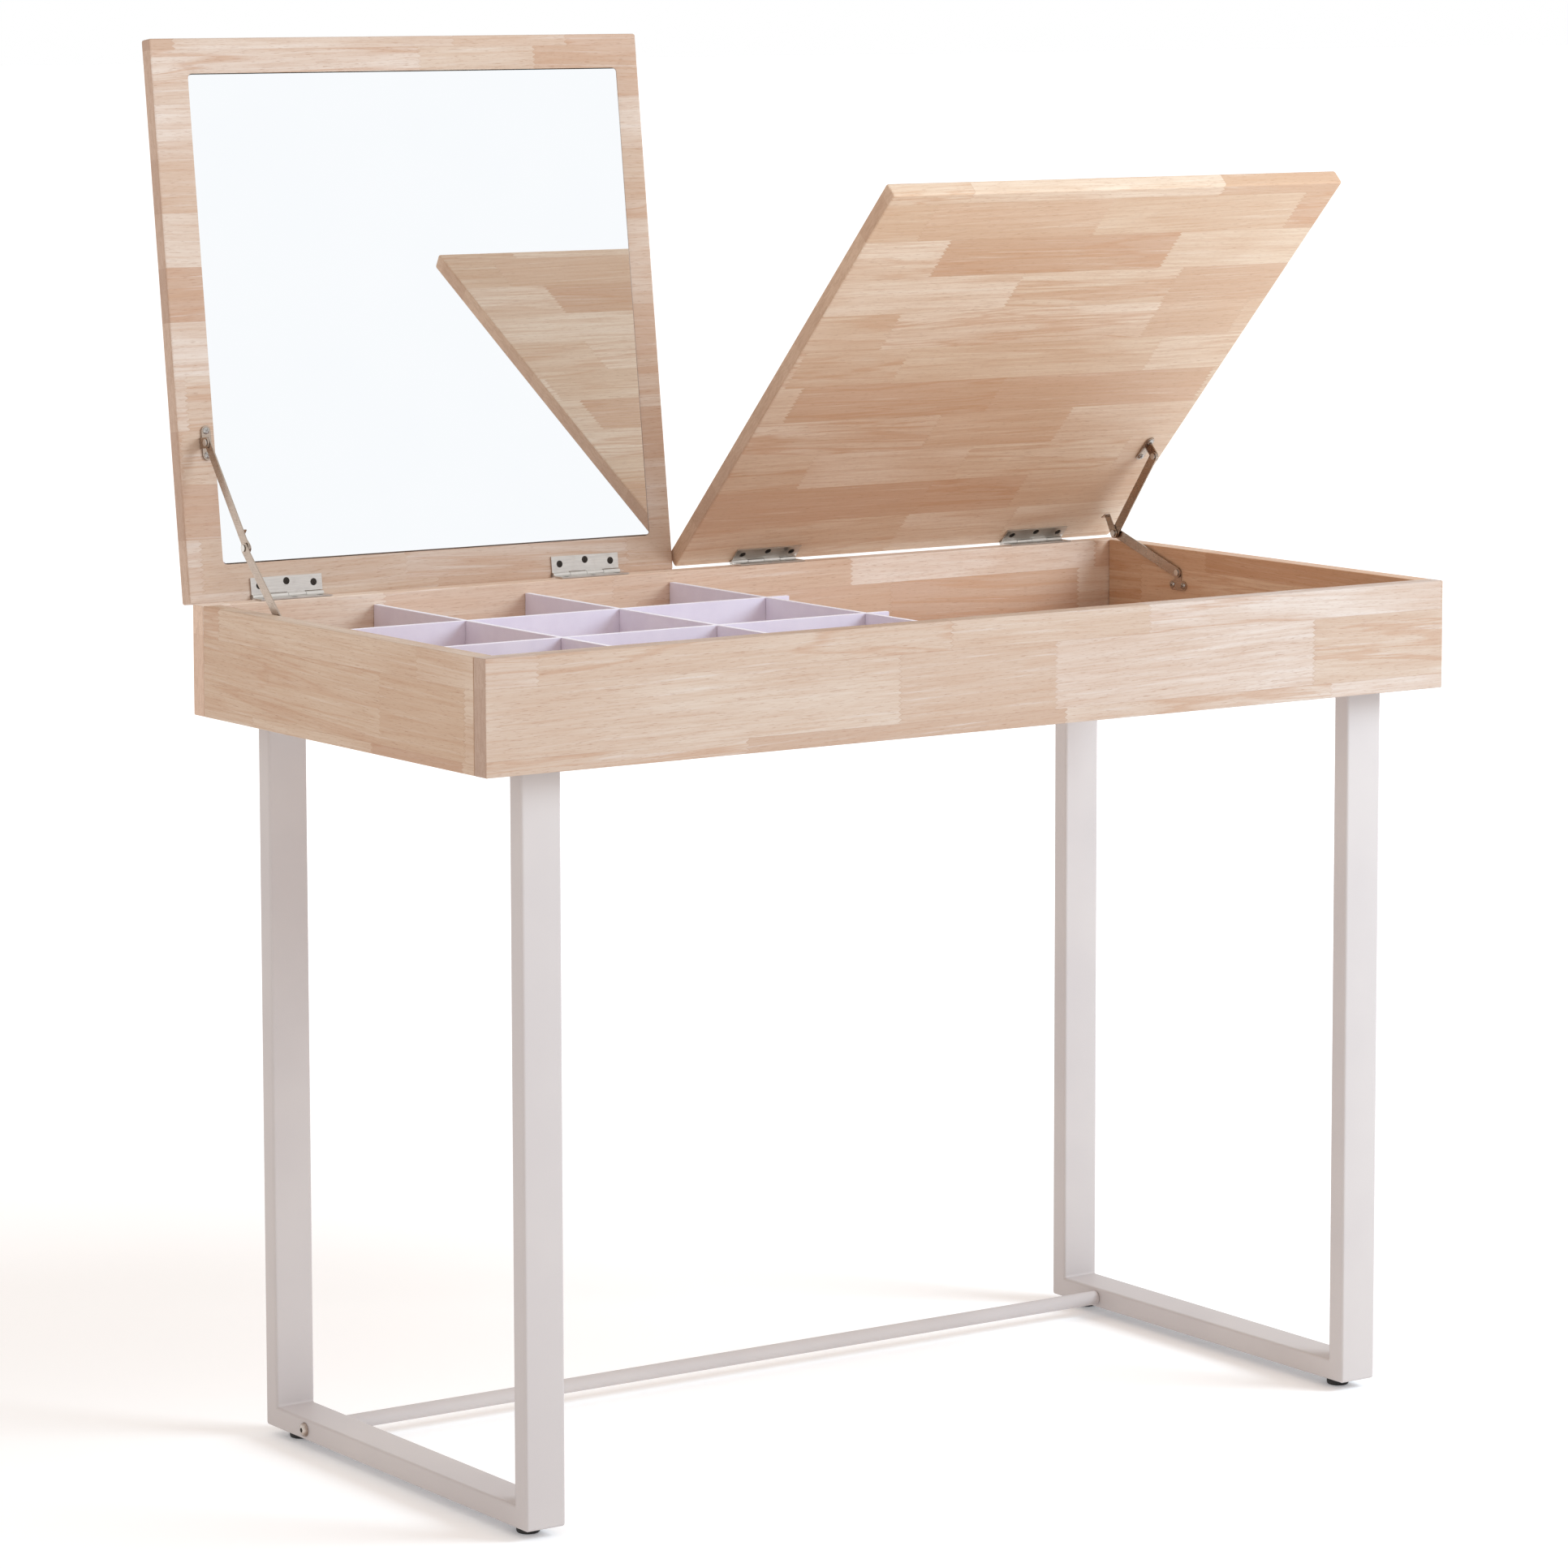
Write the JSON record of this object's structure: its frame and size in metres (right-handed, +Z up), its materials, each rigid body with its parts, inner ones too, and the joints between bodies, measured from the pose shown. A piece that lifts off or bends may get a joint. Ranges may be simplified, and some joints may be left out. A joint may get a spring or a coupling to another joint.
{
  "type": "dressing table",
  "caption": "Shallow wooden box on steel leg frames, with two hinged lids held by folding stays: one holds a mirror over divided compartments, the other covers an open space.",
  "frame": {"origin": "on the floor, below the middle of the bounding box of the whole table at rest, with its lids open", "axes": "+Z up; +Y to the back, where the lids are hinged; +X to the right as its user sees it"},
  "size_m": [1, 0.5584, 1.2155],
  "materials": {
    "wood": "clear satin lacquer on light finger-jointed boards",
    "frame_paint": "fine matt powder coat",
    "satin_steel": "satin nickel plate",
    "black_rubber": "matt",
    "mirror": "polished",
    "divider_board": "smooth pale coating"
  },
  "bodies": {
    "table": {"front_panel": "wood", "back_panel": "wood", "left_side_panel": "wood", "right_side_panel": "wood", "bottom_panel": "wood", "dowel_front_left_lower": "wood", "dowel_front_left_upper": "wood", "dowel_front_right_lower": "wood", "dowel_front_right_upper": "wood", "dowel_back_left_lower": "wood", "dowel_back_left_upper": "wood", "dowel_back_right_lower": "wood", "dowel_back_right_upper": "wood", "left_leg_frame": "frame_paint", "right_leg_frame": "frame_paint", "stretcher": "frame_paint", "stretcher_bolt_left": "satin_steel", "stretcher_bolt_right": "satin_steel", "foot_front_left": "black_rubber", "foot_front_right": "black_rubber", "foot_back_left": "black_rubber", "foot_back_right": "black_rubber", "long_divider_1": "divider_board", "long_divider_2": "divider_board", "long_divider_3": "divider_board", "cross_divider_front": "divider_board", "cross_divider_back": "divider_board", "mirror_hinge_left_box_leaf": "satin_steel", "mirror_hinge_right_box_leaf": "satin_steel", "storage_hinge_left_box_leaf": "satin_steel", "storage_hinge_right_box_leaf": "satin_steel", "mirror_hinge_left_pin": "satin_steel", "mirror_hinge_right_pin": "satin_steel", "storage_hinge_left_pin": "satin_steel", "storage_hinge_right_pin": "satin_steel", "mirror_stay_base_bracket": "satin_steel", "mirror_stay_base_rivet": "satin_steel", "storage_stay_base_bracket": "satin_steel", "storage_stay_base_rivet": "satin_steel"},
    "mirror_lid": {"mirror_lid_panel": "wood", "mirror_glass": "mirror", "mirror_hinge_left_lid_leaf": "satin_steel", "mirror_hinge_right_lid_leaf": "satin_steel", "mirror_stay_lid_bracket": "satin_steel", "mirror_stay_lid_rivet": "satin_steel"},
    "storage_lid": {"storage_lid_panel": "wood", "storage_hinge_left_lid_leaf": "satin_steel", "storage_hinge_right_lid_leaf": "satin_steel", "storage_stay_lid_bracket": "satin_steel"},
    "mirror_stay_lower": {"mirror_stay_lower_arm": "satin_steel", "mirror_stay_elbow_rivet": "satin_steel"},
    "mirror_stay_upper": {"mirror_stay_upper_arm": "satin_steel", "mirror_stay_lever_rivet": "satin_steel"},
    "mirror_stay_lever": {"mirror_stay_lever": "satin_steel"},
    "storage_stay_lower": {"storage_stay_lower_arm": "satin_steel", "storage_stay_elbow_rivet": "satin_steel"},
    "storage_stay_upper": {"storage_stay_upper_arm": "satin_steel", "storage_stay_lid_rivet": "satin_steel"},
    "storage_stay_lever": {"storage_stay_lever": "satin_steel"}
  },
  "joints": [
    {"name": "mirror_lid_hinge", "type": "hinge", "parent": "table", "child": "mirror_lid", "pos_m": [-0.2505, 0.204, 0.7335], "axis": [-1, 0, 0], "range_deg": [-97.3, 0]},
    {"name": "storage_lid_hinge", "type": "hinge", "parent": "table", "child": "storage_lid", "pos_m": [0.2505, 0.204, 0.7335], "axis": [-1, 0, 0], "range_deg": [-45.8, 39.5]},
    {"name": "mirror_stay_base_pivot", "type": "hinge", "parent": "table", "child": "mirror_stay_lower", "pos_m": [-0.48, 0.0665, 0.709], "axis": [-1, 0, 0], "range_deg": [-0.1, 46.2]},
    {"name": "mirror_stay_lid_pivot", "type": "hinge", "parent": "mirror_lid", "child": "mirror_stay_upper", "pos_m": [-0.48, 0.21114, 0.86964], "axis": [-1, 0, 0], "range_deg": [-20.6, 0.1]},
    {"name": "mirror_stay_lever_pivot", "type": "hinge", "parent": "mirror_stay_upper", "child": "mirror_stay_lever", "pos_m": [-0.48, 0.14497, 0.78379], "axis": [1, 0, 0], "range_deg": [0, 12], "stiffness_Nm_per_rad": 0.02, "springref_deg": -8.59},
    {"name": "storage_stay_base_pivot", "type": "hinge", "parent": "table", "child": "storage_stay_lower", "pos_m": [0.48, 0.0755, 0.7095], "axis": [-1, 0, 0], "range_deg": [-17.4, 20.2]},
    {"name": "storage_stay_elbow_pivot", "type": "hinge", "parent": "storage_stay_lower", "child": "storage_stay_upper", "pos_m": [0.48, 0.16772, 0.73957], "axis": [-1, 0, 0], "range_deg": [-83.6, 72.1]},
    {"name": "storage_stay_lever_pivot", "type": "hinge", "parent": "storage_stay_upper", "child": "storage_stay_lever", "pos_m": [0.48, 0.16772, 0.73957], "axis": [1, 0, 0], "range_deg": [0, 12], "stiffness_Nm_per_rad": 0.02, "springref_deg": -8.59}
  ],
  "couplings": [
    {"joint": "mirror_stay_base_pivot", "follows": "mirror_lid_hinge", "ratio": -0.473},
    {"joint": "mirror_stay_lid_pivot", "follows": "mirror_lid_hinge", "ratio": 0.2089},
    {"joint": "storage_stay_base_pivot", "follows": "storage_lid_hinge", "ratio": -0.43742},
    {"joint": "storage_stay_elbow_pivot", "follows": "storage_lid_hinge", "ratio": 1.8216}
  ]
}
